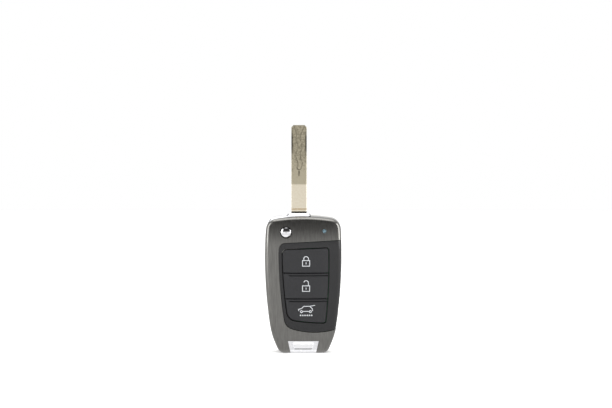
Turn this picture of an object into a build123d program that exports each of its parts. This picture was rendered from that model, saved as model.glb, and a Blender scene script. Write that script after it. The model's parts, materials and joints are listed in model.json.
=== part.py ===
from build123d import *
from math import cos, hypot, radians, sin, sqrt
import os

# Car key fob with a flip blade, standing on its foot with the blade swung out.
# Millimetres. X runs to the right as seen from the front, Y to the back and Z up.
# The origin is under the middle of the foot.

# Housing outline, seen from the front
body_height = 71.6
body_half_width = 19.95
widest_z = 50.0
side_radius = 250.0
haunch_z = 15.0
haunch_radius = 40.0
foot_corner = 3.2
top_radius = 90.0
top_corner = 6.0

# Housing crown, seen from the side and from above
half_depth = 8.5
crown_drop = 15.6
lower_crown_radius = 700.0
upper_crown_radius = 60.0
cross_crown_radius = 100.0
edge_round = 2.6

# Walls, gaps and the overrun that every through cut has
wall = 1.5
seam_gap = 0.1
trim_gap = 0.15
slip = 0.05
overrun = 10.0

# Flip mechanism
pivot_inset = 11.05
pivot_drop = 8.1
fold_angle = 184.0
carrier_radius = 10.4
carrier_depth = 9.0
carrier_proud = 0.6
carrier_bore = 8.2
carrier_floor = 1.5
carrier_edge = 0.35
bay_gap = 0.3
bay_wall = 0.8
collar_start = 1.4
collar_length = 11.0
collar_rise = 9.6
collar_lip = 1.3
collar_wall = 0.65
collar_base = 2.2

# Blade
blade_width = 7.9
blade_thickness = 2.4
blade_offset = 6.7
blade_exposed = 45.4
blade_tip_chamfer = 1.1
tang_length = 6.3
slot_gap = 0.35
slot_wall = 1.1
blade_edge = 0.2
milled_length = 30.6
milled_depth = 0.2
rail_width = 1.1
track_width = 2.2
track_depth = 0.55
track_entry = 4.8
track_wave = 4.3
track_sway = 0.55
track_waves = 4
notch_gap = 0.6
notch_length = 2.6
notch_width = 1.0
pin_diameter = 1.6
pin_recess = 0.2

# Release button, spring and axle
release_diameter = 5.1
release_gap = 0.5
release_front = 8.2
release_dome = 0.8
release_skirt = 0.3
release_travel = 2.0
release_flange = 7.8
release_flange_depth = 1.0
release_stem = 4.9
release_stem_length = 3.0
release_hollow = 1.1
axle_diameter = 3.0
axle_clearance = 1.3
axle_back = 6.4
boss_wall = 1.3
wire_diameter = 1.0
spring_mean_diameter = 6.7
spring_turns = 4
washer_depth = 0.3
washer_diameter = 7.0

# Keypad
keypad_top_drop = 7.6
keypad_above_bracket = 9.2
keypad_left = 11.2
keypad_left_foot = 8.3
keypad_left_bow = 0.75
keypad_right = 13.4
keypad_right_foot = 11.9
keypad_right_bow = 0.7
keypad_top_fall = 1.0
keypad_foot_rise = 1.9
keypad_foot_bow = 0.4
keypad_corner = 1.7
keypad_left_corner = 2.6
keypad_low_corner = 5.4
button_gap = 0.6
button_share = 0.336
button_x = 0.9
button_travel = 0.4
cap_sink = 0.3
ridge_height = 1.0
ridge_sink = 0.1
ridge_left = 7.2
groove_width = 0.65
groove_depth = 0.8
bezel_sink = 0.22
bezel_gap = 0.3
bezel_left = 12.5
bezel_left_foot = 9.2
bezel_left_bow = 1.0
bezel_top_rise = 3.5
bezel_top_fall = 1.7
bezel_foot_drop = 4.4
bezel_foot_bow = 3.0
bezel_corner = 3.4
bezel_low_corner = 5.6

# Electronics
board_front = 3.0
board_thickness = 1.0
board_inset = 3.0
board_foot = 10.6
board_gap = 0.6
switch_size = 4.5
switch_height = 1.0
switch_well = 0.15
actuator_diameter = 2.0
plunger_diameter = 4.0
mat_back = 4.0
mat_thickness = 0.5
mat_rim = 0.8
mat_overlap = 0.3
mat_margin = 1.4
mat_corner = 1.5
window_gap = 0.2
led_inset = 9.05
led_above_pivot = 0.7
led_size = 1.6
led_height = 0.7
pipe_diameter = 2.0
pipe_flange = 3.2
pipe_flange_back = 5.1
pipe_gap = 0.2
chip_inset = 13.05
chip_size = 5.0
chip_height = 0.85
chip_gap = 0.8
crystal_length = 3.2
crystal_width = 2.5
crystal_height = 0.7
capacitor_inset = 4.5
capacitor_length = 1.0
capacitor_width = 0.5
capacitor_height = 0.5
capacitor_count = 5
capacitor_pitch = 2.0
coil_inset = 6.95
coil_gap = 3.5
coil_drop = 7.6
coil_width = 3.2
coil_wind = 0.5
coil_height = 1.8
transponder_length = 11.0
transponder_width = 6.0
transponder_depth = 2.6
transponder_edge = 0.5
transponder_inset = 9.75
transponder_z = 54.5
battery_diameter = 20.0
battery_thickness = 3.2
battery_inset = 13.95
battery_drop = 37.0
battery_gap = 0.2
battery_edge = 0.3
contact_thickness = 0.2
contact_width = 5.0
contact_dimple = 3.0

# Inner chassis and its fasteners
chassis_front = 2.0
chassis_back = 2.6
chassis_gap = 0.15
battery_cover_thickness = 0.9
battery_cover_margin = 1.4
cover_tab = 5.2
cover_tab_width = 7.0
screw_diameter = 1.5
screw_head = 2.8
screw_head_height = 0.9
screw_reach = 4.4
screw_boss = 3.4
screw_top_inset = 5.95
screw_top_rise = 3.5
screw_foot_inset = 8.35
screw_foot_z = 8.4
cover_screw_length = 3.6

# Key ring bracket
bracket_top_half = 8.0
bracket_foot_half = 6.55
bracket_height = 6.5
opening_top = 5.9
opening_base = 2.55
opening_top_half = 5.55
opening_base_half = 4.3
bracket_edge = 0.35
bracket_edge_depth = 0.12
tongue_half_width = 4.0
tongue_height = 2.8
tongue_depth = 2.8

# Rear cover
rib_thickness = 1.0
rib_reach = 3.9
rib_spacing = 12.0
pry_width = 6.0
pry_depth = 0.9
pry_height = 1.0
pry_z = 24.0

# Places that follow from the sizes above
crown_z = body_height - crown_drop
pivot_x = pivot_inset - body_half_width
pivot_z = body_height - pivot_drop
carrier_half = carrier_depth / 2
bay_half = carrier_half + bay_gap
blade_inner = blade_offset - blade_width / 2
blade_outer = blade_offset + blade_width / 2
blade_reach = collar_rise + blade_exposed
tang_base = collar_rise - tang_length
collar_end = collar_start + collar_length
slot_half = blade_thickness / 2 + slot_gap
keypad_top = pivot_z - keypad_top_drop
keypad_foot = bracket_height + keypad_above_bracket
keypad_height = keypad_top - keypad_foot
board_back = board_front - board_thickness
battery_z = pivot_z - battery_drop
led_z = pivot_z + led_above_pivot
led_x = body_half_width - led_inset
chip_x = body_half_width - chip_inset
mat_right = chip_x + chip_size / 2 + chip_gap + mat_rim
coil_left, coil_right = pivot_x + carrier_radius + coil_gap, body_half_width - coil_inset
coil_x, coil_length = (coil_left + coil_right) / 2, coil_right - coil_left
battery_x = body_half_width - battery_inset
transponder_x = body_half_width - transponder_inset
screw_top_x = body_half_width - screw_top_inset
screw_foot_x = body_half_width - screw_foot_inset
release_plane = Plane(origin=(pivot_x, 0, pivot_z), x_dir=(1, 0, 0), z_dir=(0, 0, 1))
release_axis = Axis((pivot_x, 0, pivot_z), (0, 1, 0))

os.makedirs("parts", exist_ok=True)


# Outline and crowned form of the housing

side_x = body_half_width - side_radius
top_z = body_height - top_radius
haunch_lean = (widest_z - haunch_z) / side_radius
haunch_x0 = side_x + (side_radius - haunch_radius) * sqrt(1 - haunch_lean**2)
haunch_z0 = widest_z - (side_radius - haunch_radius) * haunch_lean


def side_at(z, inset):
    return side_x + sqrt((side_radius - inset) ** 2 - (z - widest_z) ** 2)


def haunch_at(z, inset):
    return haunch_x0 + sqrt((haunch_radius - inset) ** 2 - (z - haunch_z0) ** 2)


def shoulder_point(inset):
    # Where the side arc meets the top arc
    span = hypot(side_x, widest_z - top_z)
    along = ((top_radius - inset) ** 2 - (side_radius - inset) ** 2 + span**2) / (2 * span)
    off = sqrt((top_radius - inset) ** 2 - along**2)
    across, up = side_x / span, (widest_z - top_z) / span
    return across * along + up * off, top_z + up * along - across * off


def body_outline(inset):
    shoulder_x, shoulder_z = shoulder_point(inset)
    haunch_height = haunch_z0 - (haunch_radius - inset) * haunch_lean
    haunch = side_at(haunch_height, inset)
    foot = haunch_at(inset, inset)
    low_mid = (inset + haunch_height) / 2
    side_mid = (haunch_height + shoulder_z) / 2
    with BuildSketch(Plane.XZ) as plan:
        with BuildLine():
            Line((-foot, inset), (foot, inset))
            for side in (1, -1):
                ThreePointArc(
                    (side * foot, inset),
                    (side * haunch_at(low_mid, inset), low_mid),
                    (side * haunch, haunch_height),
                )
                ThreePointArc(
                    (side * haunch, haunch_height),
                    (side * side_at(side_mid, inset), side_mid),
                    (side * shoulder_x, shoulder_z),
                )
            ThreePointArc((-shoulder_x, shoulder_z), (0, body_height - inset), (shoulder_x, shoulder_z))
        make_face()
        if foot_corner > inset:
            fillet(plan.vertices().group_by(Axis.Y)[0], foot_corner - inset)
        if top_corner > inset:
            fillet(plan.vertices().group_by(Axis.Y)[-1], top_corner - inset)
    return plan.sketch


def crown_barrel(inset):
    # A barrel whose near side is the crowned front face
    front = inset - half_depth
    axis_y = cross_crown_radius - half_depth
    low, high = -overrun, body_height + overrun

    def bulge(z, radius):
        reach = radius - inset
        return front + reach - sqrt(reach**2 - (z - crown_z) ** 2)

    low_mid, high_mid = (low + crown_z) / 2, (high + crown_z) / 2
    low_y, high_y = bulge(low, lower_crown_radius), bulge(high, upper_crown_radius)
    low_bulge = (bulge(low_mid, lower_crown_radius), low_mid)
    high_bulge = (bulge(high_mid, upper_crown_radius), high_mid)
    with BuildPart() as barrel:
        with BuildSketch(Plane.YZ):
            with BuildLine():
                ThreePointArc((low_y, low), low_bulge, (front, crown_z))
                ThreePointArc((front, crown_z), high_bulge, (high_y, high))
                Polyline((high_y, high), (axis_y, high), (axis_y, low), (low_y, low))
            make_face()
        revolve(axis=Axis((0, axis_y, 0), (0, 0, 1)))
    return barrel.part


def body_form(inset):
    # The closed outer form, or the same form inset on every side
    barrel = crown_barrel(inset)
    outline = body_outline(inset)
    with BuildPart() as form:
        extrude(outline, amount=2 * half_depth, both=True)
        add(barrel, mode=Mode.INTERSECT)
        add(barrel.mirror(Plane.XZ), mode=Mode.INTERSECT)
        if edge_round > inset:
            crowns = form.faces().filter_by(lambda face: abs(face.normal_at().Y) > 1 / sqrt(2))
            crown_edges = [edge for crown in crowns for edge in crown.edges()]
            rim = [e for e in form.edges() if sum(e.is_same(other) for other in crown_edges) == 1]
            fillet(rim, edge_round - inset)
    return form.part


outer_form = body_form(0)
cavity_form = body_form(wall)


def slab(plan, front, back):
    # A plan carried from one depth to another, both given along Y
    with BuildPart() as piece:
        extrude(plan.moved(Location((0, back, 0))), amount=back - front)
    return piece.part


def grown(plan, gap):
    # A plan with an even margin all round
    with BuildSketch(Plane.XZ) as wider:
        add(plan)
        offset(amount=gap)
    return wider.sketch


def half_shell(side):
    # Half of the hollow housing, in front of the seam for side -1 and behind it for 1
    with BuildPart() as shell:
        add(outer_form)
        add(cavity_form, mode=Mode.SUBTRACT)
        split(bisect_by=Plane.XZ.offset(-side * seam_gap / 2), keep=Keep.BOTTOM if side > 0 else Keep.TOP)
    return shell.part


def finish(piece, label):
    piece.label = label
    export_step(piece, f"parts/{label}.step")


# Plans of what the blade and its carrier sweep


def folded(across, along):
    # A point of the blade, given from the pivot, at the end of its swing
    turn = radians(fold_angle)
    x = pivot_x + across * cos(turn) - along * sin(turn)
    return x, pivot_z + across * sin(turn) + along * cos(turn)


def bay_plan(gap):
    left, high = pivot_x - body_half_width, pivot_z + body_height
    right, ledge = pivot_x + collar_end + gap, pivot_z + collar_base - gap
    low = folded(collar_end, collar_rise)[1] - gap
    with BuildSketch(Plane.XZ) as plan:
        with Locations((pivot_x, pivot_z)):
            Circle(carrier_radius + gap)
        Polygon(
            (left, low), (pivot_x, low), (pivot_x, ledge), (right, ledge), (right, high), (left, high),
            align=None,
        )
    return plan.sketch


def slot_plan(gap, reach):
    inner, outer = blade_inner - gap, blade_outer + body_half_width
    with BuildSketch(Plane.XZ) as plan:
        Polygon(folded(inner, 0), folded(inner, reach), folded(outer, reach), folded(outer, 0), align=None)
    return plan.sketch


blade_slot = slot_plan(slot_gap, blade_reach + slot_gap)
bay_cut = slab(bay_plan(bay_gap), -bay_half, bay_half)
slot_cut = slab(blade_slot, -slot_half, slot_half)


# Plans of the key ring bracket and of the keypad


def bracket_plan(gap):
    lean = (bracket_top_half - bracket_foot_half) / bracket_height
    with BuildSketch(Plane.XZ) as plan:
        top = bracket_height + gap
        half_top, half_foot = bracket_foot_half + lean * top + gap, bracket_foot_half + gap
        half_low = half_foot - lean * overrun
        Polygon((-half_low, -overrun), (half_low, -overrun), (half_top, top), (-half_top, top), align=None)
    return plan.sketch


def keypad_plan(inset):
    left, left_foot = keypad_left - inset, keypad_left_foot - inset
    right, right_foot = keypad_right - inset, keypad_right_foot - inset
    top, foot = keypad_top - inset, keypad_foot + inset
    top_left, foot_left = top - keypad_top_fall, foot + keypad_foot_rise
    mid = (top + foot) / 2
    with BuildSketch(Plane.XZ) as plan:
        with BuildLine():
            Line((-left, top_left), (right, top))
            right_mid = (right + right_foot) / 2 + keypad_right_bow
            ThreePointArc((right, top), (right_mid, mid), (right_foot, foot))
            low_x = (right_foot - left_foot) / 2
            low_z = (foot + foot_left) / 2 - keypad_foot_bow
            ThreePointArc((right_foot, foot), (low_x, low_z), (-left_foot, foot_left))
            left_mid = (left + left_foot) / 2 + keypad_left_bow
            ThreePointArc((-left_foot, foot_left), (-left_mid, mid), (-left, top_left))
        make_face()
        fillet(plan.vertices().sort_by_distance((-left_foot, foot_left))[0], keypad_low_corner - inset)
        fillet(plan.vertices().sort_by_distance((right, top))[0], keypad_corner - inset)
        fillet(plan.vertices().sort_by_distance((right_foot, foot))[0], keypad_corner - inset)
        fillet(plan.vertices().sort_by_distance((-left, top_left))[0], keypad_left_corner - inset)
    return plan.sketch


def bezel_plan():
    right = body_half_width + bezel_sink + wall
    top_right, top_left = keypad_top + bezel_top_rise, keypad_top + bezel_top_rise - bezel_top_fall
    foot_right = keypad_foot - bezel_foot_drop + bezel_foot_bow
    foot_left = foot_right
    mid = (top_left + foot_left) / 2
    with BuildSketch(Plane.XZ) as plan:
        with BuildLine():
            Polyline((-bezel_left, top_left), (right, top_right), (right, foot_right))
            foot_mid = ((right - bezel_left_foot) / 2, foot_right - bezel_foot_bow)
            ThreePointArc((right, foot_right), foot_mid, (-bezel_left_foot, foot_left))
            left_mid = (bezel_left + bezel_left_foot) / 2 + bezel_left_bow
            ThreePointArc((-bezel_left_foot, foot_left), (-left_mid, mid), (-bezel_left, top_left))
        make_face()
        fillet(plan.vertices().sort_by_distance((-bezel_left_foot, foot_left))[0], bezel_low_corner)
        fillet(plan.vertices().sort_by_distance((-bezel_left, top_left))[0], bezel_corner)
    return plan.sketch


keypad_field = keypad_plan(0)
bezel_field = bezel_plan()
bracket_cut = slab(bracket_plan(trim_gap), -half_depth - overrun, half_depth + overrun)
screw_places = [(screw_top_x, pivot_z + screw_top_rise), (screw_foot_x, screw_foot_z)]

# Key ring bracket, a chrome loop in the foot, and the dowel that holds its tongue

with BuildSketch(Plane.XZ) as ring_opening:
    Polygon(
        (-opening_base_half, opening_base),
        (opening_base_half, opening_base),
        (opening_top_half, opening_top),
        (-opening_top_half, opening_top),
        align=None,
    )
    fillet(ring_opening.vertices(), bracket_edge)

dowel_z = bracket_height + tongue_height / 2

with BuildPart() as key_ring_bracket:
    extrude(bracket_plan(0), amount=half_depth, both=True)
    add(outer_form, mode=Mode.INTERSECT)
    extrude(ring_opening.sketch, amount=half_depth, both=True, mode=Mode.SUBTRACT)
    for side in (0, -1):
        mouth = key_ring_bracket.faces().sort_by(Axis.Y)[side]
        chamfer(mouth.inner_wires()[0].edges(), bracket_edge, bracket_edge_depth, reference=mouth)
    with BuildSketch(Plane.XY.offset(bracket_height)):
        Rectangle(2 * tongue_half_width, tongue_depth)
    extrude(amount=tongue_height)
    with BuildSketch(Plane.XZ):
        with Locations((0, dowel_z)):
            Circle(pin_diameter / 2 + slip)
    extrude(amount=half_depth, both=True, mode=Mode.SUBTRACT)
finish(key_ring_bracket.part, "key_ring_bracket")

with BuildPart() as bracket_dowel:
    with BuildSketch(Plane.XZ.offset(-chassis_back)):
        with Locations((0, dowel_z)):
            Circle(pin_diameter / 2)
    extrude(amount=chassis_front + chassis_back)
finish(bracket_dowel.part, "bracket_dowel")

# Front cover, the painted C-shaped shell

release_hole = release_diameter / 2 + release_gap

with BuildPart() as front_bosses:
    with BuildSketch(Plane.XZ.offset(bay_half)):
        with Locations((pivot_x, pivot_z)):
            Circle(release_hole + boss_wall)
    extrude(amount=half_depth)
    with BuildSketch(Plane.XZ.offset(chassis_front)):
        with Locations(*screw_places):
            Circle(screw_boss / 2)
    extrude(amount=half_depth)
    add(slab(blade_slot, -slot_half - slot_wall, -slot_half))
    add(slab(bay_plan(bay_gap), -bay_half - bay_wall, -bay_half))
    add(cavity_form, mode=Mode.INTERSECT)

with BuildPart() as front_cover:
    add(half_shell(-1))
    add(slab(grown(bezel_field, bezel_gap), -half_depth - overrun, 0), mode=Mode.SUBTRACT)
    add(front_bosses.part)
    add(bay_cut, mode=Mode.SUBTRACT)
    add(slot_cut, mode=Mode.SUBTRACT)
    add(bracket_cut, mode=Mode.SUBTRACT)
    with BuildSketch(Plane.XZ):
        with Locations((pivot_x, pivot_z)):
            Circle(release_hole)
        with Locations((led_x, led_z)):
            Circle(pipe_diameter / 2 + slip)
    extrude(amount=half_depth + overrun, mode=Mode.SUBTRACT)
    with BuildSketch(Plane.XZ):
        with Locations(*screw_places):
            Circle(screw_diameter / 2 + slip)
    extrude(amount=screw_reach + slip, mode=Mode.SUBTRACT)
finish(front_cover.part, "front_cover")

# Rear cover, with the axle boss, stiffening ribs and a notch to pry it off

rib_foot, rib_top = haunch_z, pivot_z - carrier_radius - rib_spacing / 2

with BuildPart() as rear_bosses:
    with BuildSketch(Plane.XZ.offset(-bay_half)):
        with Locations((pivot_x, pivot_z)):
            Circle(axle_diameter / 2 + boss_wall)
    extrude(amount=-half_depth)
    with BuildSketch(Plane.XZ.offset(-rib_reach)):
        with Locations((battery_x, (rib_foot + rib_top) / 2)):
            with GridLocations(rib_spacing, 0, 2, 1):
                Rectangle(rib_thickness, rib_top - rib_foot)
    extrude(amount=-half_depth)
    add(slab(blade_slot, slot_half, slot_half + slot_wall))
    add(cavity_form, mode=Mode.INTERSECT)

with BuildPart() as rear_cover:
    add(half_shell(1))
    add(rear_bosses.part)
    add(bay_cut, mode=Mode.SUBTRACT)
    add(slot_cut, mode=Mode.SUBTRACT)
    add(bracket_cut, mode=Mode.SUBTRACT)
    with BuildSketch(Plane.XZ):
        with Locations((pivot_x, pivot_z)):
            Circle(axle_diameter / 2 + slip)
    extrude(amount=-axle_back, mode=Mode.SUBTRACT)
    with BuildSketch(Plane.XZ):
        with Locations((side_at(pry_z, pry_depth), pry_z)):
            Rectangle(overrun, pry_width, align=(Align.MIN, Align.CENTER))
    extrude(amount=-pry_height, mode=Mode.SUBTRACT)
finish(rear_cover.part, "rear_cover")

# Dark bezel round the keypad, which wraps over the right side

bezel_form = body_form(bezel_sink)

with BuildPart() as keypad_bezel:
    add(bezel_form)
    add(cavity_form, mode=Mode.SUBTRACT)
    add(slab(bezel_field, -half_depth, -seam_gap / 2), mode=Mode.INTERSECT)
    add(slab(keypad_field, -half_depth - overrun, 0), mode=Mode.SUBTRACT)
finish(keypad_bezel.part, "keypad_bezel")

# Buttons, each with a silicone plunger, a switch and the switch's own actuator

button_names = ("lock", "unlock", "tailgate")
button_tops = [keypad_top - i * button_share * keypad_height for i in range(len(button_names))]
button_feet = button_tops[1:] + [keypad_foot]
button_zs = [(high + low) / 2 for high, low in zip(button_tops, button_feet)]
switch_front = board_front + switch_height
actuator_front = switch_front + button_travel + slip
actuator_back = board_front + switch_well + button_travel + slip

cap_form = body_form(cap_sink)
ridge_form = body_form(ridge_sink)
groove_form = body_form(cap_sink + groove_depth)
cap_field = slab(keypad_plan(button_gap), -half_depth, 0)


def button_band(index):
    high = button_tops[index] + (overrun if index == 0 else -button_gap / 2)
    low = button_feet[index] - (overrun if index == len(button_names) - 1 else -button_gap / 2)
    with BuildSketch(Plane.XZ) as band:
        with Locations((0, low)):
            Rectangle(2 * body_half_width, high - low, align=(Align.CENTER, Align.MIN))
    return slab(band.sketch, -half_depth, 0)


def button_ridge(index):
    # The lip along the top edge of a button, which runs out at the left
    high, low = button_tops[index], button_tops[index] - ridge_height
    with BuildSketch(Plane.XZ) as lip:
        Polygon(
            (-ridge_left - ridge_height, high),
            (body_half_width, high),
            (body_half_width, low),
            (-ridge_left, low),
            align=None,
        )
    return slab(lip.sketch, -half_depth, 0)


def button_groove(index):
    # The narrow groove that runs under the lip
    with BuildSketch(Plane.XZ) as line:
        with Locations((-ridge_left, button_tops[index] - ridge_height)):
            Rectangle(body_half_width + ridge_left, groove_width, align=(Align.MIN, Align.MAX))
    with BuildPart() as groove:
        add(slab(line.sketch, -half_depth, 0))
        add(groove_form, mode=Mode.SUBTRACT)
    return groove.part


for index, (name, z) in enumerate(zip(button_names, button_zs)):
    groove = button_groove(index)
    with BuildPart() as button:
        if index:
            add(ridge_form)
            add(button_ridge(index), mode=Mode.INTERSECT)
        add(cap_form)
        add(cap_field, mode=Mode.INTERSECT)
        add(button_band(index), mode=Mode.INTERSECT)
        add(cavity_form, mode=Mode.SUBTRACT)
        if index:
            add(groove, mode=Mode.SUBTRACT)
    finish(button.part, f"{name}_button")

    with BuildPart() as plunger:
        with BuildSketch(Plane.XZ.offset(actuator_front)):
            with Locations((button_x, z)):
                Circle(plunger_diameter / 2)
        extrude(amount=half_depth)
        add(cavity_form, mode=Mode.INTERSECT)
    finish(plunger.part, f"{name}_plunger")

    with BuildPart() as switch:
        with BuildSketch(Plane.XZ.offset(board_front)):
            with Locations((button_x, z)):
                Rectangle(switch_size, switch_size)
        extrude(amount=switch_height)
        with BuildSketch(Plane.XZ.offset(board_front + switch_well)):
            with Locations((button_x, z)):
                Circle(actuator_diameter / 2 + slip)
        extrude(amount=switch_height, mode=Mode.SUBTRACT)
    finish(switch.part, f"{name}_switch")

    with BuildPart() as actuator:
        with BuildSketch(Plane.XZ.offset(actuator_back)):
            with Locations((button_x, z)):
                Circle(actuator_diameter / 2)
        extrude(amount=actuator_front - actuator_back)
    finish(actuator.part, f"{name}_switch_actuator")

# Silicone mat under the buttons, a sheet on a rim that seats on the board

mat_left = keypad_left + mat_overlap
mat_foot = keypad_foot + mat_margin
mat_top = pivot_z - carrier_radius - 2 * bay_gap

with BuildPart() as keypad_mat:
    with BuildSketch(Plane.XZ.offset(board_front)):
        with Locations(((mat_right - mat_left) / 2, (mat_top + mat_foot) / 2)):
            RectangleRounded(mat_right + mat_left, mat_top - mat_foot, mat_corner)
    extrude(amount=mat_back + mat_thickness - board_front)
    with BuildSketch(Plane.XZ.offset(board_front)):
        with Locations(((mat_right - mat_left) / 2, (mat_top + mat_foot) / 2)):
            Rectangle(mat_right + mat_left - 2 * mat_rim, mat_top - mat_foot - 2 * mat_rim)
    extrude(amount=mat_back - board_front, mode=Mode.SUBTRACT)
    with BuildSketch(Plane.XZ.offset(board_front)):
        with Locations(*[(button_x, z) for z in button_zs]):
            Rectangle(switch_size + 2 * window_gap, switch_size + 2 * window_gap)
    extrude(amount=half_depth, mode=Mode.SUBTRACT)
finish(keypad_mat.part, "keypad_mat")

# Circuit board and what it carries

with BuildSketch(Plane.XZ) as board_plan:
    add(body_outline(board_inset))
    with Locations((0, board_foot)):
        Rectangle(2 * body_half_width, body_height, align=(Align.CENTER, Align.MIN), mode=Mode.INTERSECT)
    add(bay_plan(bay_gap + board_gap), mode=Mode.SUBTRACT)
    add(slot_plan(slot_gap + board_gap, body_height), mode=Mode.SUBTRACT)
    with Locations(*screw_places):
        Circle(screw_boss / 2 + chassis_gap, mode=Mode.SUBTRACT)

with BuildPart() as circuit_board:
    add(slab(board_plan.sketch, -board_front, -board_back))
finish(circuit_board.part, "circuit_board")


def board_chip(x, z, length, width, height):
    with BuildPart() as chip:
        with BuildSketch(Plane.XZ.offset(board_front)):
            with Locations((x, z)):
                Rectangle(length, width)
        extrude(amount=height)
    return chip.part


upper_gap_z = (button_zs[0] + button_zs[1]) / 2
lower_gap_z = (button_zs[1] + button_zs[2]) / 2
finish(board_chip(chip_x, lower_gap_z, chip_size, chip_size, chip_height), "radio_chip")
finish(board_chip(chip_x, upper_gap_z, crystal_length, crystal_width, crystal_height), "crystal")
finish(board_chip(led_x, led_z, led_size, led_size / 2, led_height), "led")

coil_z = led_z - coil_drop
coil_core = coil_width - 2 * coil_wind
with BuildPart() as antenna_coil:
    with BuildSketch(Plane.XZ.offset(board_front)):
        with Locations((coil_x, coil_z)):
            Rectangle(coil_length, coil_core)
            Rectangle(coil_length - 2 * coil_wind, coil_width)
    extrude(amount=coil_height)
finish(antenna_coil.part, "antenna_coil")

with BuildPart() as capacitors:
    with BuildSketch(Plane.XZ.offset(board_front)):
        with Locations((button_x - capacitor_inset, lower_gap_z)):
            with GridLocations(0, capacitor_pitch, 1, capacitor_count):
                Rectangle(capacitor_length, capacitor_width)
    extrude(amount=capacitor_height)
finish(capacitors.part, "capacitors")

# Light pipe of the lamp, with a flange behind the front wall

with BuildPart() as led_light_pipe:
    with BuildSketch(Plane.XZ.offset(pipe_flange_back)):
        with Locations((led_x, led_z)):
            Circle(pipe_flange / 2)
    extrude(amount=half_depth)
    add(cavity_form, mode=Mode.INTERSECT)
    with BuildSketch(Plane.XZ.offset(board_front + led_height + pipe_gap)):
        with Locations((led_x, led_z)):
            Circle(pipe_diameter / 2)
    extrude(amount=half_depth)
    add(bezel_form, mode=Mode.INTERSECT)
finish(led_light_pipe.part, "led_light_pipe")

# Coin cell and its two contacts

battery_half = battery_thickness / 2
battery_place = (battery_x, battery_z)
leg_z = battery_z + battery_diameter / 2 + chassis_gap

with BuildPart() as coin_cell:
    with BuildSketch(Plane.XZ):
        with Locations(battery_place):
            Circle(battery_diameter / 2)
    extrude(amount=battery_half, both=True)
    chamfer(coin_cell.edges().group_by(Axis.Y)[0], battery_edge)
finish(coin_cell.part, "coin_cell")

with BuildPart() as negative_contact:
    with BuildSketch(Plane.XZ.offset(chassis_front - contact_thickness)):
        with Locations(battery_place):
            Circle(battery_diameter / 2 - contact_width)
    extrude(amount=contact_thickness)
    with BuildSketch(Plane.XZ.offset(battery_half)):
        with Locations(battery_place):
            Circle(contact_dimple / 2)
    extrude(amount=chassis_front - battery_half)
finish(negative_contact.part, "negative_contact")

with BuildPart() as positive_contact:
    with BuildSketch(Plane.XZ.offset(-battery_half)):
        with Locations((battery_x, battery_z - contact_width)):
            Rectangle(contact_width, leg_z - battery_z + contact_width, align=(Align.CENTER, Align.MIN))
    extrude(amount=-contact_thickness)
    with BuildSketch(Plane.XZ.offset(chassis_front)):
        with Locations((battery_x, leg_z)):
            Rectangle(contact_width, contact_thickness, align=(Align.CENTER, Align.MIN))
    extrude(amount=-chassis_front - battery_half - contact_thickness)
finish(positive_contact.part, "positive_contact")

# Inner chassis that carries the board, the cell and the transponder

chassis_outline = body_outline(wall + chassis_gap)
cover_screw_z = battery_z + battery_diameter / 2 + cover_tab
bore_radius = battery_diameter / 2 + battery_gap

with BuildSketch(Plane.XZ) as chassis_plan:
    add(chassis_outline)
    with Locations((0, bracket_height + trim_gap)):
        Rectangle(2 * body_half_width, body_height, align=(Align.CENTER, Align.MIN), mode=Mode.INTERSECT)
    add(bay_plan(bay_gap + chassis_gap), mode=Mode.SUBTRACT)
    add(slot_plan(slot_gap + chassis_gap, body_height), mode=Mode.SUBTRACT)
    with Locations(battery_place):
        Circle(bore_radius, mode=Mode.SUBTRACT)
    with Locations((battery_x, battery_z)):
        leg_reach = leg_z - battery_z + contact_thickness + battery_gap
        leg_room = contact_width + 2 * battery_gap
        Rectangle(leg_room, leg_reach, align=(Align.CENTER, Align.MIN), mode=Mode.SUBTRACT)
    with Locations(*screw_places, (battery_x, cover_screw_z)):
        Circle(screw_diameter / 2 + slip, mode=Mode.SUBTRACT)
    with Locations((0, dowel_z)):
        Circle(pin_diameter / 2 + slip, mode=Mode.SUBTRACT)

with BuildPart() as inner_chassis:
    add(slab(chassis_plan.sketch, -chassis_front, chassis_back))
    with BuildSketch(Plane.XY):
        Rectangle(2 * (tongue_half_width + trim_gap), tongue_depth + 2 * trim_gap)
    extrude(amount=bracket_height + tongue_height + trim_gap, mode=Mode.SUBTRACT)
finish(inner_chassis.part, "inner_chassis")

with BuildPart() as transponder:
    with BuildSketch(Plane.XZ.offset(-chassis_back)):
        with Locations((transponder_x, transponder_z)):
            Rectangle(transponder_width, transponder_length)
    extrude(amount=-transponder_depth)
    chamfer(transponder.edges().group_by(Axis.Y)[-1], transponder_edge)
finish(transponder.part, "transponder")

# Battery cover behind the cell, and the screws

with BuildSketch(Plane.XZ) as battery_cover_plan:
    with Locations(battery_place):
        Circle(bore_radius + battery_cover_margin)
        tab_length = cover_screw_z - battery_z + screw_head
        Rectangle(cover_tab_width, tab_length, align=(Align.CENTER, Align.MIN))
    add(body_outline(wall + 2 * chassis_gap), mode=Mode.INTERSECT)
    with Locations((battery_x, cover_screw_z)):
        Circle(screw_diameter / 2 + slip, mode=Mode.SUBTRACT)

with BuildPart() as battery_cover:
    add(slab(battery_cover_plan.sketch, chassis_back, chassis_back + battery_cover_thickness))
    with BuildSketch(Plane.XZ.offset(-battery_half - contact_thickness)):
        with Locations(battery_place):
            Circle(contact_width / 2)
    extrude(amount=battery_half + contact_thickness - chassis_back)
finish(battery_cover.part, "battery_cover")


def screws(places, seat, reach):
    # Pan head screws whose heads bear on a face at the seat depth
    with BuildPart() as group:
        with BuildSketch(Plane.XZ.offset(-seat)):
            with Locations(*places):
                Circle(screw_head / 2)
        extrude(amount=-screw_head_height)
        with BuildSketch(Plane.XZ.offset(-seat)):
            with Locations(*places):
                Circle(screw_diameter / 2)
        extrude(amount=reach)
    return group.part


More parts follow.
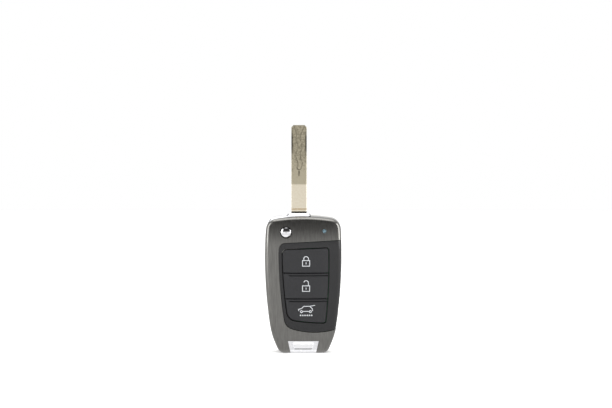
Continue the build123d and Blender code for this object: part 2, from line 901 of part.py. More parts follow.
finish(screws(screw_places, chassis_back, chassis_back + screw_reach), "chassis_screws")
cover_seat = chassis_back + battery_cover_thickness
finish(screws([(battery_x, cover_screw_z)], cover_seat, cover_screw_length), "battery_cover_screw")

# Blade carrier, the chrome rotor that the blade is pinned into

block_end = blade_outer + collar_wall

with BuildSketch(Plane.XZ) as carrier_plan:
    with Locations((pivot_x, pivot_z)):
        Circle(carrier_radius)
    add(body_outline(-carrier_proud), mode=Mode.INTERSECT)
    with Locations((pivot_x, pivot_z)):
        Polygon(
            (0, collar_base),
            (collar_start - collar_lip, collar_rise - collar_lip),
            (collar_start, collar_rise),
            (collar_end - collar_lip / 2, collar_rise),
            (collar_end, collar_rise - collar_lip / 2),
            (collar_end, collar_rise - collar_lip),
            (block_end, collar_rise - 2 * collar_lip),
            (block_end, collar_base),
            align=None,
        )

with BuildPart() as blade_carrier:
    add(slab(carrier_plan.sketch, -carrier_half, carrier_half))
    chamfer(blade_carrier.faces().filter_by(Axis.Y).edges(), carrier_edge)
    with BuildSketch(Plane.XZ.offset(carrier_floor - carrier_half)):
        with Locations((pivot_x, pivot_z)):
            Circle(carrier_bore / 2)
    extrude(amount=carrier_depth, mode=Mode.SUBTRACT)
    with BuildSketch(Plane.XZ):
        with Locations((pivot_x, pivot_z)):
            Circle(axle_diameter / 2 + slip)
        with Locations((pivot_x + blade_offset, pivot_z + tang_base + tang_length / 2)):
            Circle(pin_diameter / 2)
    extrude(amount=carrier_depth, both=True, mode=Mode.SUBTRACT)
    with BuildSketch(Plane.XY.offset(pivot_z + tang_base)):
        with Locations((pivot_x + blade_offset, 0)):
            Rectangle(blade_width, blade_thickness)
    extrude(amount=collar_rise, mode=Mode.SUBTRACT)
finish(blade_carrier.part, "blade_carrier")

# Blade, with the milled track on both faces

blade_plane = Plane(origin=(pivot_x + blade_offset, 0, pivot_z), x_dir=(1, 0, 0), z_dir=(0, -1, 0))
track_half = track_width / 2
entry_foot = blade_reach - track_entry
track_foot = entry_foot - track_waves * track_wave
notch_top = track_foot - track_half - notch_gap
tip_half = blade_width / 2 - blade_tip_chamfer

with BuildSketch(blade_plane) as blade_plan:
    half = blade_width / 2
    shoulder = blade_reach - blade_tip_chamfer
    Polygon(
        (-half, tang_base), (half, tang_base), (half, shoulder), (tip_half, blade_reach),
        (-tip_half, blade_reach), (-half, shoulder),
        align=None,
    )

with BuildSketch(blade_plane) as milled_plan:
    with Locations((0, blade_reach)):
        Rectangle(blade_width - 2 * rail_width, milled_length, align=(Align.CENTER, Align.MAX))

with BuildSketch(blade_plane) as track_plan:
    with BuildLine():
        for wave in range(track_waves):
            start = entry_foot - wave * track_wave
            sway = track_sway if wave % 2 else -track_sway
            ThreePointArc((0, start), (sway, start - track_wave / 2), (0, start - track_wave))
    trace(line_width=track_width)
    Polygon(
        (-track_half, entry_foot),
        (track_half, entry_foot),
        (tip_half, blade_reach),
        (-tip_half, blade_reach),
        align=None,
    )
    with Locations((0, track_foot)):
        Circle(track_half)
    with Locations((0, notch_top)):
        Rectangle(notch_width, notch_length, align=(Align.CENTER, Align.MAX))

with BuildPart() as key_blade:
    extrude(blade_plan.sketch, amount=blade_thickness / 2, both=True)
    chamfer(key_blade.edges().filter_by(Axis.Z), blade_edge)
    for plan, depth in ((milled_plan.sketch, milled_depth), (track_plan.sketch, track_depth)):
        for side in (1, -1):
            face_y = side * (blade_thickness / 2 - depth)
            floor = plan.moved(Location((0, face_y, 0)))
            extrude(floor, amount=-side * blade_thickness, mode=Mode.SUBTRACT)
    with BuildSketch(blade_plane):
        with Locations((0, tang_base + tang_length / 2)):
            Circle(pin_diameter / 2)
    extrude(amount=blade_thickness, both=True, mode=Mode.SUBTRACT)
finish(key_blade.part, "key_blade")

with BuildPart() as blade_pin:
    with BuildSketch(blade_plane):
        with Locations((0, tang_base + tang_length / 2)):
            Circle(pin_diameter / 2)
    extrude(amount=carrier_half - pin_recess, both=True)
finish(blade_pin.part, "blade_pin")

# Release button, a domed cap on a plunger whose flange the spring presses forward

flange_front = carrier_half
flange_back = flange_front - release_flange_depth
stem_back = flange_back - release_stem_length
dome_rim = release_front - release_dome
cap_back = dome_rim - release_skirt
hollow_front = dome_rim - release_hollow
hollow_radius = axle_diameter / 2 + slip
cap_radius, flange_radius, stem_radius = release_diameter / 2, release_flange / 2, release_stem / 2

with BuildPart() as release_button:
    with BuildSketch(release_plane):
        with BuildLine():
            lean = (cap_radius**2 + release_dome**2) / (2 * release_dome)
            half_cap = cap_radius / 2
            dome_mid = release_front - lean + sqrt(lean**2 - half_cap**2)
            ThreePointArc((0, -release_front), (half_cap, -dome_mid), (cap_radius, -dome_rim))
            Polyline((cap_radius, -dome_rim), (cap_radius, -cap_back), (0, -cap_back), (0, -release_front))
        make_face()
    revolve(axis=release_axis)
finish(release_button.part, "release_button")

with BuildPart() as release_plunger:
    with BuildSketch(release_plane):
        with BuildLine():
            Polyline(
                (0, -cap_back),
                (cap_radius, -cap_back),
                (cap_radius, -flange_front),
                (flange_radius, -flange_front),
                (flange_radius, -flange_back),
                (stem_radius, -flange_back),
                (stem_radius, -stem_back),
                (hollow_radius, -stem_back),
                (hollow_radius, -hollow_front),
                (0, -hollow_front),
                (0, -cap_back),
            )
        make_face()
    revolve(axis=release_axis)
finish(release_plunger.part, "release_plunger")

# Flip spring round the stem, its axle and the thrust washer behind the carrier

spring_front, spring_back = flange_back, carrier_half - carrier_floor
spring_rise = spring_front + spring_back - wire_diameter

with BuildPart() as flip_spring:
    with BuildLine() as coil_line:
        Helix(
            spring_rise / spring_turns,
            spring_rise,
            spring_mean_diameter / 2,
            center=(pivot_x, wire_diameter / 2 - spring_front, pivot_z),
            direction=(0, 1, 0),
        )
    with BuildSketch(Plane(origin=coil_line.line @ 0, z_dir=coil_line.line % 0)):
        Circle(wire_diameter / 2)
    sweep(is_frenet=True)
finish(flip_spring.part, "flip_spring")

axle_front = hollow_front - release_travel - axle_clearance

with BuildPart() as carrier_axle:
    with BuildSketch(Plane.XZ.offset(axle_front)):
        with Locations((pivot_x, pivot_z)):
            Circle(axle_diameter / 2)
    extrude(amount=-axle_front - axle_back)
finish(carrier_axle.part, "carrier_axle")

with BuildPart() as thrust_washer:
    with BuildSketch(Plane.XZ.offset(-carrier_half)):
        with Locations((pivot_x, pivot_z)):
            Circle(washer_diameter / 2)
            Circle(axle_diameter / 2 + slip, mode=Mode.SUBTRACT)
    extrude(amount=-washer_depth)
finish(thrust_washer.part, "thrust_washer")
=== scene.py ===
import json
import math

import bmesh
import bpy
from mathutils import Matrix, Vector
from mathutils.bvhtree import BVHTree


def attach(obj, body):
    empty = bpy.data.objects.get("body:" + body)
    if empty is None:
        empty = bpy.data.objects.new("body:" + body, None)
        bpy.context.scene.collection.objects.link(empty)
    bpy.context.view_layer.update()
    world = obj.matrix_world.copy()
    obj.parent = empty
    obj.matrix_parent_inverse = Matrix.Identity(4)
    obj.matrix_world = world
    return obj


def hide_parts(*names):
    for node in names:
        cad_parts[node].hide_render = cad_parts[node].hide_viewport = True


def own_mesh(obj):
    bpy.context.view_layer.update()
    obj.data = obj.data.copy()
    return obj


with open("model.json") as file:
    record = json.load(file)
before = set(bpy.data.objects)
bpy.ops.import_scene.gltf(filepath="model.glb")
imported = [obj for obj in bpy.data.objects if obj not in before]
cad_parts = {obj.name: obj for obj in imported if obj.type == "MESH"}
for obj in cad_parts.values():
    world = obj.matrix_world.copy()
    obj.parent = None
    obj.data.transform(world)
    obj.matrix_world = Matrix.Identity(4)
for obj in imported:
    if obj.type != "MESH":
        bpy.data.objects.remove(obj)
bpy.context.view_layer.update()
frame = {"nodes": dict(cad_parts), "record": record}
mm = 0.001


# Colours are typed as the hex value seen on the part, and shaders want linear light
def linear(hexColour):
    channels = [int(hexColour[i : i + 2], 16) / 255 for i in (1, 3, 5)]
    return tuple(c / 12.92 if c <= 0.04045 else ((c + 0.055) / 1.055) ** 2.4 for c in channels) + (1.0,)


def grey(level):
    return (level, level, level, 1.0)


def addNode(tree, kind, inputs=None, **settings):
    # A node whose inputs, by name or number, are each a value or another node's socket
    node = tree.nodes.new(kind)
    for name, value in settings.items():
        setattr(node, name, value)
    for name, value in (inputs or {}).items():
        if isinstance(value, bpy.types.NodeSocket):
            tree.links.new(value, node.inputs[name])
        else:
            node.inputs[name].default_value = value
    return node


def addObject(name, data):
    made = bpy.data.objects.new(name, data)
    bpy.context.scene.collection.objects.link(made)
    return made


def maths(tree, operation, *values):
    inputs = dict(enumerate(values))
    return addNode(tree, "ShaderNodeMath", inputs, operation=operation).outputs["Value"]


def remap(tree, value, fromMin, fromMax, toMin=0.0, toMax=1.0):
    limits = {"From Min": fromMin, "From Max": fromMax, "To Min": toMin, "To Max": toMax}
    return addNode(tree, "ShaderNodeMapRange", {"Value": value, **limits}).outputs["Result"]


def within(tree, value, low, high, blur):
    # One between the limits and nothing outside them
    up = remap(tree, value, low - blur, low + blur)
    down = remap(tree, value, high + blur, high - blur)
    return maths(tree, "MULTIPLY", up, down)


def blend(tree, factor, first, second):
    # Sockets 0, 6 and 7 are the factor and the two colours, and 2 is the colour that comes out
    inputs = {0: factor, 6: first, 7: second}
    return addNode(tree, "ShaderNodeMix", inputs, data_type="RGBA").outputs[2]


def noise(tree, size, detail=3.0, stretch=(1, 1, 1)):
    # Noise whose features are the given size in millimetres
    coords = addNode(tree, "ShaderNodeTexCoord").outputs["Object"]
    scaled = addNode(tree, "ShaderNodeMapping", {"Vector": coords, "Scale": stretch}).outputs["Vector"]
    inputs = {"Vector": scaled, "Scale": 1 / (size * mm), "Detail": detail}
    return addNode(tree, "ShaderNodeTexNoise", inputs).outputs["Fac"]


def ramp(tree, factor, stops):
    node = addNode(tree, "ShaderNodeValToRGB", {"Fac": factor})
    while len(node.color_ramp.elements) < len(stops):
        node.color_ramp.elements.new(0.5)
    for element, (place, colour) in zip(node.color_ramp.elements, stops):
        element.position = place
        element.color = colour
    return node.outputs["Color"]


def newMaterial(name):
    made = bpy.data.materials.new(name)
    made.use_nodes = True
    return made, made.node_tree, made.node_tree.nodes["Principled BSDF"]


def addGrain(tree, shader, mottle, look):
    # Roughness follows the mottle, and a finer noise stands up from the surface
    spread = remap(tree, mottle, 0.0, 1.0, *look["roughness"])
    tree.links.new(spread, shader.inputs["Roughness"])
    size, depth = look["grain"]
    grain = noise(tree, size, stretch=look.get("stretch", (1, 1, 1)))
    inputs = {"Height": grain, "Distance": depth * mm, "Strength": 1.0}
    bump = addNode(tree, "ShaderNodeBump", inputs)
    tree.links.new(bump.outputs["Normal"], shader.inputs["Normal"])


# The mottle runs from the dark tone to the light one between these values of its noise
toneStops = (0.35, 0.65)


def material(name, look):
    # A material from its look: mottle is a size and grain a size and depth, in millimetres
    made, tree, shader = newMaterial(name)
    shader.inputs["Metallic"].default_value = look.get("metallic", 0.0)
    for socket in ("Coat Weight", "Coat Roughness", "Transmission Weight", "Specular IOR Level"):
        if socket in look:
            shader.inputs[socket].default_value = look[socket]
    mottle = noise(tree, look["mottle"], stretch=look.get("stretch", (1, 1, 1)))
    tones = [linear(look["dark"]), linear(look["light"])]
    tint = ramp(tree, mottle, list(zip(toneStops, tones)))
    tree.links.new(tint, shader.inputs["Base Color"])
    addGrain(tree, shader, mottle, look)
    return made


looks = {
    # Metallic gunmetal lacquer of the front cover, with faint upright streaks from the spray
    "gunmetal_paint": {
        "dark": "#656461", "light": "#72716e", "metallic": 0.95, "mottle": 0.5,
        "roughness": (0.27, 0.33), "grain": (0.12, 0.002), "stretch": (1, 1, 0.06),
        "Coat Weight": 0.35, "Coat Roughness": 0.12,
    },
    # Light silver grey lacquer of the rear cover
    "light_grey_paint": {
        "dark": "#b9b7b2", "light": "#c4c2bd", "metallic": 0.3, "mottle": 0.15,
        "roughness": (0.3, 0.38), "grain": (0.1, 0.002), "Coat Weight": 0.3, "Coat Roughness": 0.1,
    },
    # Soft touch black lacquer on the bezel
    "dark_bezel_plastic": {
        "dark": "#1c1c1d", "light": "#212122", "mottle": 0.4, "roughness": (0.42, 0.5),
        "grain": (0.12, 0.003), "Coat Weight": 0.45, "Coat Roughness": 0.1,
        "Specular IOR Level": 0.12,
    },
    # Bright chrome plate
    "chrome_trim": {
        "dark": "#dcdcdf", "light": "#e6e6e8", "metallic": 1.0, "mottle": 1.5,
        "roughness": (0.09, 0.14), "grain": (0.5, 0.0006),
    },
    # Drawn steel of screws, pins and the spring
    "bright_steel": {
        "dark": "#9a9a9c", "light": "#b4b4b6", "metallic": 1.0, "mottle": 0.3,
        "roughness": (0.22, 0.32), "grain": (0.08, 0.002), "stretch": (1, 0.1, 1),
    },
    # Silicone rubber skin of the buttons
    "button_rubber": {
        "dark": "#252527", "light": "#2a2a2c", "mottle": 0.5, "roughness": (0.6, 0.7),
        "grain": (0.09, 0.005), "Specular IOR Level": 0.35,
    },
    # Charcoal silicone of the mat
    "silicone": {
        "dark": "#202122", "light": "#2a2b2c", "mottle": 0.8, "roughness": (0.5, 0.6),
        "grain": (0.2, 0.004),
    },
    # Tin plated steel cans
    "switch_metal": {
        "dark": "#a8a8a6", "light": "#bebebb", "metallic": 1.0, "mottle": 0.3,
        "roughness": (0.25, 0.35), "grain": (0.06, 0.002),
    },
    # Black glass filled nylon
    "black_plastic": {
        "dark": "#1b1b1c", "light": "#232324", "mottle": 0.5, "roughness": (0.45, 0.6),
        "grain": (0.15, 0.006),
    },
    # Green solder mask over glass fibre laminate
    "board_laminate": {
        "dark": "#0f4a2a", "light": "#17603a", "mottle": 0.7, "roughness": (0.25, 0.4),
        "grain": (0.3, 0.004),
    },
    # Black epoxy of the chips
    "chip_resin": {
        "dark": "#1d1d1f", "light": "#27272a", "mottle": 0.15, "roughness": (0.5, 0.65),
        "grain": (0.06, 0.005),
    },
    # Sintered ferrite with lacquer
    "coil_ferrite": {
        "dark": "#3a3433", "light": "#4a4342", "mottle": 0.2, "roughness": (0.5, 0.65),
        "grain": (0.08, 0.006),
    },
    # Clear epoxy of the lamp
    "lamp_clear": {
        "dark": "#e8e4c8", "light": "#f2efd8", "mottle": 0.6, "roughness": (0.1, 0.2),
        "grain": (0.3, 0.001), "Transmission Weight": 0.6,
    },
    # Smoky acrylic of the light pipe
    "light_pipe_clear": {
        "dark": "#5c727c", "light": "#6b828c", "mottle": 0.6, "roughness": (0.08, 0.16),
        "grain": (0.3, 0.001), "Transmission Weight": 0.1,
    },
    # Nickel plated steel of the coin cell
    "cell_steel": {
        "dark": "#b3b3b0", "light": "#c6c6c3", "metallic": 1.0, "mottle": 0.8,
        "roughness": (0.18, 0.28), "grain": (0.12, 0.002),
    },
    # Tin bronze spring strip
    "contact_plating": {
        "dark": "#b89a5a", "light": "#c9ad6d", "metallic": 1.0, "mottle": 0.4,
        "roughness": (0.22, 0.32), "grain": (0.08, 0.002),
    },
}

materials = {name: material(name, look) for name, look in looks.items()}
print("stage: materials", len(materials))

# Nickel silver of the blade: plain and warm near the carrier, darker and mottled where the cutter
# ran. Sizes and heights are in millimetres, and across is measured from the blade's middle
blade = {
    "plain": "#d9cfba", "plainLight": "#e2dac8", "plainStops": (0.3, 0.7),
    "milled": "#8a8371", "milledLight": "#b3ab95", "milledStops": (0.38, 0.62),
    "mottle": 0.9, "detail": 4.0, "roughness": (0.24, 0.4), "grain": (0.3, 0.003),
    "centre": -2.2, "millEnd": 87.9, "millBlur": 0.3,
    # The milled part is paler just above its foot
    "paleFoot": 88.0, "paleTop": 101.0, "paleShare": 0.3,
    # Painted shade along the track's walls, which wave below its top and flare above it
    "trackHalf": 1.1, "trackFoot": 96.5, "trackTop": 113.7, "wave": 8.6, "sway": 0.55,
    "flare": 0.365, "wallLine": 0.1, "wallBlur": 0.25, "endLine": 0.15,
    # Painted shade in the short notch below the track's round end
    "notch": (-4.3, -1.7), "notchHalf": 0.3, "notchBlur": 0.2,
    # Darker edges below the tip, and the painted shade where the blade leaves the carrier
    "edge": 3.2, "edgeEnd": 5.0, "edgeBlur": 0.35, "edgeMid": 109.5, "edgeReach": 7.5,
    "edgeCore": 3.0, "shadeTop": 73.8,
    # Colour and strength of the painted shade and the darker edges, and the noise that breaks the
    # painted shade into patches
    "shadeColour": "#39362f", "shadeShare": 0.95, "patch": 1.6, "patchStops": (0.35, 0.6), "patchLeast": 0.5,
    # Painted reflection of the chrome collar: a thin ochre line across the blade just above the carrier
    "collarReflection": "#9c7a3e", "reflectionFoot": 74.8, "reflectionTop": 75.2, "reflectionBlur": 0.1,
}


def trackShade(tree, off, height):
    # Painted shade along the walls of the milled track, round its lower end and in the notch
    half, wallLine, endLine = blade["trackHalf"], blade["wallLine"], blade["endLine"]
    above = maths(tree, "SUBTRACT", height, blade["trackTop"] * mm)
    below = maths(tree, "MINIMUM", above, 0.0)
    turn = maths(tree, "MULTIPLY", below, 2 * math.pi / (blade["wave"] * mm))
    swing = maths(tree, "MULTIPLY", maths(tree, "SINE", turn), blade["sway"] * mm)
    flare = maths(tree, "MULTIPLY", maths(tree, "MAXIMUM", above, 0.0), blade["flare"])
    gap = maths(tree, "ABSOLUTE", maths(tree, "SUBTRACT", off, swing))
    gap = maths(tree, "SUBTRACT", gap, flare)
    blur = blade["wallBlur"] * mm
    wall = within(tree, gap, (half - wallLine) * mm, (half + wallLine) * mm, blur)
    inTrack = maths(tree, "GREATER_THAN", height, blade["trackFoot"] * mm)

    down = maths(tree, "SUBTRACT", height, blade["trackFoot"] * mm)
    span = addNode(tree, "ShaderNodeCombineXYZ", {"X": off, "Y": down}).outputs["Vector"]
    away = addNode(tree, "ShaderNodeVectorMath", {0: span}, operation="LENGTH").outputs["Value"]
    end = within(tree, away, (half - endLine) * mm, (half + endLine) * mm, endLine * mm)
    under = maths(tree, "MULTIPLY", end, maths(tree, "LESS_THAN", down, 0.0))

    blur = blade["notchBlur"] * mm
    foot, top = (blade["trackFoot"] + step for step in blade["notch"])
    across = within(tree, maths(tree, "ABSOLUTE", off), -mm, blade["notchHalf"] * mm, blur)
    mark = maths(tree, "MULTIPLY", across, within(tree, height, foot * mm, top * mm, blur))
    walls = maths(tree, "MULTIPLY", wall, inTrack)
    return maths(tree, "MAXIMUM", walls, maths(tree, "MAXIMUM", under, mark))


def darkEdgesAndCarrierShade(tree, off, height):
    # Darker edges that fade out up and down from their middle, and the painted shade at the carrier
    across, blur = maths(tree, "ABSOLUTE", off), blade["edgeBlur"] * mm
    rim = within(tree, across, blade["edge"] * mm, blade["edgeEnd"] * mm, blur)
    far = maths(tree, "ABSOLUTE", maths(tree, "SUBTRACT", height, blade["edgeMid"] * mm))
    fade = remap(tree, far, blade["edgeReach"] * mm, blade["edgeCore"] * mm)
    shade = maths(tree, "LESS_THAN", height, blade["shadeTop"] * mm)
    return maths(tree, "MAXIMUM", maths(tree, "MULTIPLY", rim, fade), shade)


def bladeMaterial():
    made, tree, shader = newMaterial("blade_nickel")
    shader.inputs["Metallic"].default_value = 1.0
    coords = addNode(tree, "ShaderNodeTexCoord").outputs["Object"]
    axes = addNode(tree, "ShaderNodeSeparateXYZ", {"Vector": coords}).outputs
    height = axes["Z"]
    off = maths(tree, "SUBTRACT", axes["X"], blade["centre"] * mm)

    mottle = noise(tree, blade["mottle"], blade["detail"])
    tones = zip(blade["plainStops"], [linear(blade["plain"]), linear(blade["plainLight"])])
    plain = ramp(tree, mottle, list(tones))
    pale = remap(
        tree, height, blade["paleFoot"] * mm, blade["paleTop"] * mm, blade["paleShare"], 0.0
    )
    tones = zip(blade["milledStops"], [linear(blade["milled"]), linear(blade["milledLight"])])
    worn = ramp(tree, maths(tree, "ADD", mottle, pale), list(tones))
    edge, blur = blade["millEnd"], blade["millBlur"]
    milled = remap(tree, height, (edge - blur) * mm, (edge + blur) * mm)
    tint = blend(tree, milled, plain, worn)

    # Painted shade in the track and at the carrier, with the darker edges, pulled towards the shade
    # colour
    patch = noise(tree, blade["patch"], blade["detail"])
    patchy = remap(tree, patch, *blade["patchStops"], blade["patchLeast"])
    lines = maths(tree, "MULTIPLY", trackShade(tree, off, height), patchy)
    shadeAndDarkEdges = maths(tree, "MAXIMUM", lines, darkEdgesAndCarrierShade(tree, off, height))
    shadeAndDarkEdges = maths(tree, "MULTIPLY", shadeAndDarkEdges, blade["shadeShare"])
    tint = blend(tree, shadeAndDarkEdges, tint, linear(blade["shadeColour"]))
    # Painted reflection of the collar as a thin ochre line across the blade
    foot, top = blade["reflectionFoot"] * mm, blade["reflectionTop"] * mm
    line = within(tree, height, foot, top, blade["reflectionBlur"] * mm)
    tint = blend(tree, line, tint, linear(blade["collarReflection"]))
    tree.links.new(tint, shader.inputs["Base Color"])
    addGrain(tree, shader, mottle, blade)
    return made


materials["blade_nickel"] = bladeMaterial()

for part in frame["record"]["subparts"]:
    for place in frame["nodes"][part["node"]].material_slots:
        place.material = materials[part["material_slot"]]

# The release button presses the flip spring shorter; a copy of the spring with its doubled points
# merged stands in for it
spring = {"travel": 2.0, "merge": 0.0005}


def pressedSpring():
    shell = bmesh.new()
    shell.from_mesh(frame["nodes"]["flip_spring"].data)
    bmesh.ops.remove_doubles(shell, verts=shell.verts, dist=spring["merge"] * mm)
    mesh = bpy.data.meshes.new("flip_spring_coil")
    shell.to_mesh(mesh)
    shell.free()
    mesh.materials.append(materials["bright_steel"])
    piece = addObject("flip_spring_coil", mesh)
    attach(piece, "blade_assembly")
    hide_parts("flip_spring")
    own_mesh(piece)


pressedSpring()
print("stage: spring")

# Light grey ink of the signs
ink = material(
    "sign_ink",
    {
        "dark": "#b9bcbf", "light": "#c6c9cc", "mottle": 0.3, "roughness": (0.5, 0.6),
        "grain": (0.1, 0.002),
    },
)

# Print is laid on a cap from in front of the key and stands this far off the cap, in millimetres
printing = {"from": -20.0, "lift": 0.02}


def surfaceOf(nodeName):
    source = frame["nodes"][nodeName].data
    return BVHTree.FromPolygons([v.co for v in source.vertices], [p.vertices for p in source.polygons])


def onCap(surface, x, z):
    # The printed point in front of the cap at x and z, which are in metres
    hit = surface.ray_cast(Vector((x, printing["from"] * mm, z)), Vector((0, 1, 0)))[0]
    return Vector((x, hit.y - printing["lift"] * mm, z))


def stepped(points, closed, step):
    # The same line with points no further apart than the step
    ends = points[1:] + points[:1] if closed else points[1:]
    line = []
    for (x0, z0), (x1, z1) in zip(points, ends):
        count = max(1, math.ceil(math.hypot(x1 - x0, z1 - z0) / step))
        shares = [i / count for i in range(count)]
        line += [(x0 + (x1 - x0) * share, z0 + (z1 - z0) * share) for share in shares]
    return line if closed else line + [points[-1]]


def ribbon(points, closed, width, step):
    # A flat band along the line, mitred at its corners to at most twice its half width
    line = stepped(points, closed, step)
    count = len(line)
    verts, faces = [], []
    for i, (x, z) in enumerate(line):
        here = Vector((x, z))
        before = (here - Vector(line[i - 1])).normalized()
        after = (Vector(line[(i + 1) % count]) - here).normalized()
        if not closed and i == 0:
            before = after
        if not closed and i == count - 1:
            after = before
        across = Vector((-before.y - after.y, before.x + after.x)).normalized()
        reach = width / 2 / max(0.5, across.dot(Vector((-before.y, before.x))))
        verts += [here + across * reach, here - across * reach]
    for i in range(count if closed else count - 1):
        j = (i + 1) % count
        faces.append((2 * i, 2 * i + 1, 2 * j + 1, 2 * j))
    return verts, faces


def arc(x, z, radius, start, end, steps=14):
    turns = [math.radians(start + (end - start) * i / steps) for i in range(steps + 1)]
    return [(x + radius * math.cos(t), z + radius * math.sin(t)) for t in turns]


# Signs of plain meaning: a shut lock, an open lock and a car with its tailgate up
signs = {
    "stroke": 0.38, "step": 0.4, "x": 1.45, "half": 1.85, "lockHeight": 2.9, "shackle": 1.2,
    "shackleFoot": 0.2, "keyhole": (0.95, 1.95), "shutFoot": 46.1, "shutRise": 0.9,
    "openFoot": 32.9, "openRise": 1.5, "openTurn": 165, "carX": 1.75, "carFoot": 22.2,
    "wheel": 0.55, "wheelsX": (-2.7, 1.9), "wheelSides": 10,
}


def sign(name, lines, nodeName, bodyName):
    # A flat sign printed on a curved cap: lines are (points, closed) in millimetres
    surface = surfaceOf(nodeName)
    verts, faces = [], []
    for points, closed in lines:
        flat, quads = ribbon(points, closed, signs["stroke"], signs["step"])
        faces += [tuple(len(verts) + i for i in quad) for quad in quads]
        verts += [onCap(surface, x * mm, z * mm) for x, z in flat]
    mesh = bpy.data.meshes.new(name)
    mesh.from_pydata(verts, [], faces)
    mesh.materials.append(ink)
    piece = addObject(name, mesh)
    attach(piece, bodyName)


def lockSign(foot, rise, turn):
    x, half, arm = signs["x"], signs["half"], signs["shackle"]
    top = foot + signs["lockHeight"]
    body = [(x - half, foot), (x + half, foot), (x + half, top), (x - half, top)]
    shoulder = top + signs["shackleFoot"]
    hoop = [(x + arm, shoulder)] + arc(x, top + rise, arm, 0, turn)
    if turn == 180:
        hoop.append((x - arm, shoulder))
    keyhole = [(x, foot + level) for level in signs["keyhole"]]
    return [(body, True), (hoop, False), (keyhole, False)]


def carSign():
    shape = [(-4.1, 0.3), (-4.2, 1.2), (-2.7, 1.6), (-1.5, 2.8), (1.6, 2.8), (2.9, 1.5), (3.1, 0.3)]
    tailgate = [(1.6, 2.8), (4.3, 3.3)]
    sill = [(-1.9, 0.1), (1.1, 0.1)]
    x0, z0, sides = signs["carX"], signs["carFoot"], signs["wheelSides"]
    lines = [([(x0 + x, z0 + z) for x, z in line], False) for line in (shape, tailgate, sill)]
    for x in signs["wheelsX"]:
        wheel = arc(x0 + x, z0, signs["wheel"], 0, 360 * (sides - 1) / sides, sides - 1)
        lines.append((wheel, True))
    return lines


sign("lock_sign", lockSign(signs["shutFoot"], signs["shutRise"], 180), "lock_button", "lock")
openLock = lockSign(signs["openFoot"], signs["openRise"], signs["openTurn"])
sign("unlock_sign", openLock, "unlock_button", "unlock")
sign("tailgate_sign", carSign(), "tailgate_button", "tailgate")
print("stage: signs")

# A row of dots where the printed word is, made as repeats of one dot along the row
dots = {"count": 6, "pitch": 1.15, "radius": 0.4, "sides": 12, "x": -1.4, "z": 20.2}


def dotTree():
    # Node group that repeats a flat dot along a row and gives it the ink
    tree = bpy.data.node_groups.new("Repeat dots along a row", "GeometryNodeTree")
    for name in ("Count", "Pitch", "Radius"):
        kind = "NodeSocketInt" if name == "Count" else "NodeSocketFloat"
        tree.interface.new_socket(name, in_out="INPUT", socket_type=kind)
    tree.interface.new_socket("Geometry", in_out="OUTPUT", socket_type="NodeSocketGeometry")
    given = addNode(tree, "NodeGroupInput").outputs
    offset = addNode(tree, "ShaderNodeCombineXYZ", {"X": given["Pitch"]}).outputs["Vector"]
    inputs = {"Count": given["Count"], "Offset": offset}
    row = addNode(tree, "GeometryNodeMeshLine", inputs).outputs["Mesh"]
    inputs = {"Vertices": dots["sides"], "Radius": given["Radius"]}
    dot = addNode(tree, "GeometryNodeMeshCircle", inputs, fill_type="NGON").outputs["Mesh"]
    inputs = {"Geometry": dot, "Rotation": (math.pi / 2, 0, 0)}
    turned = addNode(tree, "GeometryNodeTransform", inputs).outputs["Geometry"]
    inputs = {"Points": row, "Instance": turned}
    placed = addNode(tree, "GeometryNodeInstanceOnPoints", inputs).outputs["Instances"]
    solid = addNode(tree, "GeometryNodeRealizeInstances", {"Geometry": placed}).outputs["Geometry"]
    inputs = {"Geometry": solid, "Material": ink}
    inked = addNode(tree, "GeometryNodeSetMaterial", inputs).outputs["Geometry"]
    addNode(tree, "NodeGroupOutput", {"Geometry": inked})
    return tree


def dotRow():
    holder = addObject("dot_row_source", bpy.data.meshes.new("dot_row_points"))
    maker = holder.modifiers.new("dots", "NODES")
    maker.node_group = dotTree()
    values = {"Count": dots["count"], "Pitch": dots["pitch"] * mm, "Radius": dots["radius"] * mm}
    for item in maker.node_group.interface.items_tree:
        if item.in_out == "INPUT":
            maker[item.identifier] = values[item.name]
    evaluated = holder.evaluated_get(bpy.context.evaluated_depsgraph_get())
    made = bpy.data.meshes.new_from_object(evaluated)
    bpy.data.objects.remove(holder)
    surface = surfaceOf("tailgate_button")
    for vertex in made.vertices:
        vertex.co = onCap(surface, vertex.co.x + dots["x"] * mm, vertex.co.z + dots["z"] * mm)
    piece = addObject("dot_row", made)
    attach(piece, "tailgate")


dotRow()
print("stage: dots")

# White sweep under the key, which keeps the key's shadow. Glossy surfaces mirror the room's
# lower half and not the sweep
sweep = {"size": 1.3, "colour": "#fdfdfd", "roughness": 0.9, "shine": 0.0}
edge = sweep["size"] / 2
floorMesh = bpy.data.meshes.new("sweep")
corners = [(-edge, -edge, 0), (edge, -edge, 0), (edge, edge, 0), (-edge, edge, 0)]
floorMesh.from_pydata(corners, [], [(0, 1, 2, 3)])
paper, _, paperShader = newMaterial("paper")
paperShader.inputs["Base Color"].default_value = linear(sweep["colour"])
paperShader.inputs["Roughness"].default_value = sweep["roughness"]
paperShader.inputs["Specular IOR Level"].default_value = sweep["shine"]
floorMesh.materials.append(paper)
floor = addObject("sweep", floorMesh)
floor.visible_glossy = False

# Room light in front of the key by height, from straight down at 0 to straight up at 1: bright
# below, dark above the lens, bright overhead. Behind the key it is an even backdrop, and the
# front turns into it between the two values of behind. The camera itself sees plain white
room = {
    "stops": [
        (0.05, 1.2), (0.3, 0.85), (0.45, 1.3), (0.5, 0.75), (0.55, 0.45), (0.6, 0.04), (0.88, 0.04),
        (0.95, 1.6),
    ],
    "behind": (-0.15, 0.3), "backdrop": 0.95, "strength": 1.1,
}


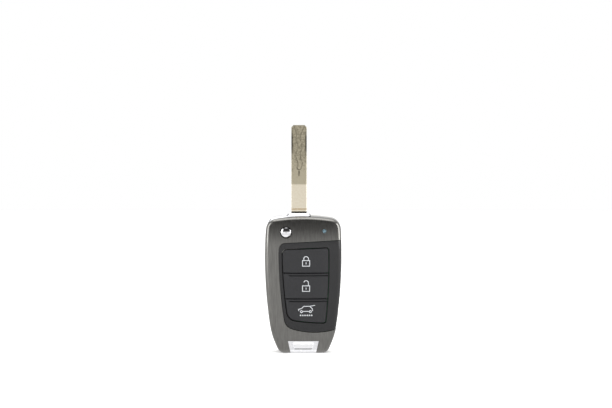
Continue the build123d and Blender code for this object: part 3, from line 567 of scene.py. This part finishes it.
def roomLight():
    world = bpy.data.worlds.new("room")
    world.use_nodes = True
    tree = world.node_tree
    coords = addNode(tree, "ShaderNodeTexCoord").outputs["Generated"]
    way = addNode(tree, "ShaderNodeSeparateXYZ", {"Vector": coords}).outputs
    height = remap(tree, way["Z"], -1.0, 1.0)
    behind = remap(tree, way["Y"], *room["behind"])
    front = ramp(tree, height, [(place, grey(level)) for place, level in room["stops"]])
    around = blend(tree, behind, front, grey(room["backdrop"]))
    inputs = {"Color": around, "Strength": room["strength"]}
    lit = addNode(tree, "ShaderNodeBackground", inputs).outputs["Background"]
    inputs = {"Color": grey(1.0), "Strength": 1.0}
    white = addNode(tree, "ShaderNodeBackground", inputs).outputs["Background"]
    seen = addNode(tree, "ShaderNodeLightPath").outputs["Is Camera Ray"]
    both = addNode(tree, "ShaderNodeMixShader", {0: seen, 1: lit, 2: white}).outputs["Shader"]
    tree.links.new(both, tree.nodes["World Output"].inputs["Surface"])
    bpy.context.scene.world = world


roomLight()

lamps = {
    "overhead": {"at": (0.0, -0.1, 1.3), "size": (1.6, 1.2), "watts": 11.5, "shine": True},
    "left_box": {"at": (-1.0, -0.5, 0.35), "size": (0.5, 0.9), "watts": 9.0, "shine": True},
    "right_box": {"at": (1.0, -0.35, 0.35), "size": (0.5, 0.9), "watts": 10.0, "shine": True},
    "front_fill": {"at": (0.0, -1.6, 0.9), "size": (1.2, 0.6), "watts": 1.5, "shine": False},
}
lampsAim = Vector((0, 0, 0.05))
for name, lamp in lamps.items():
    light = bpy.data.lights.new(name, "AREA")
    light.shape = "RECTANGLE"
    light.size, light.size_y = lamp["size"]
    light.energy = lamp["watts"]
    holder = addObject(name, light)
    holder.location = lamp["at"]
    holder.rotation_euler = (lampsAim - holder.location).to_track_quat("-Z", "Y").to_euler()
    holder.visible_camera = False
    holder.visible_glossy = lamp["shine"]

# The lens in front of the key and a little above it: focal and sensor in millimetres, pitch in
# degrees, the rest in metres
lens = {"focal": 102.0, "sensor": 36.0, "distance": 0.9, "pitch": 6.2, "aimX": 0.0014, "aimZ": 0.0775}
camera = addObject("lens", bpy.data.cameras.new("lens"))
camera.data.sensor_width = lens["sensor"]
camera.data.lens = lens["focal"]
tilt, distance = math.radians(lens["pitch"]), lens["distance"]
rise = lens["aimZ"] + distance * math.sin(tilt)
camera.location = (lens["aimX"], -distance * math.cos(tilt), rise)
camera.rotation_euler = (math.pi / 2 - tilt, 0, 0)
bpy.context.scene.camera = camera
bpy.context.scene.view_settings.view_transform = "Standard"
print("stage: lights and lens")
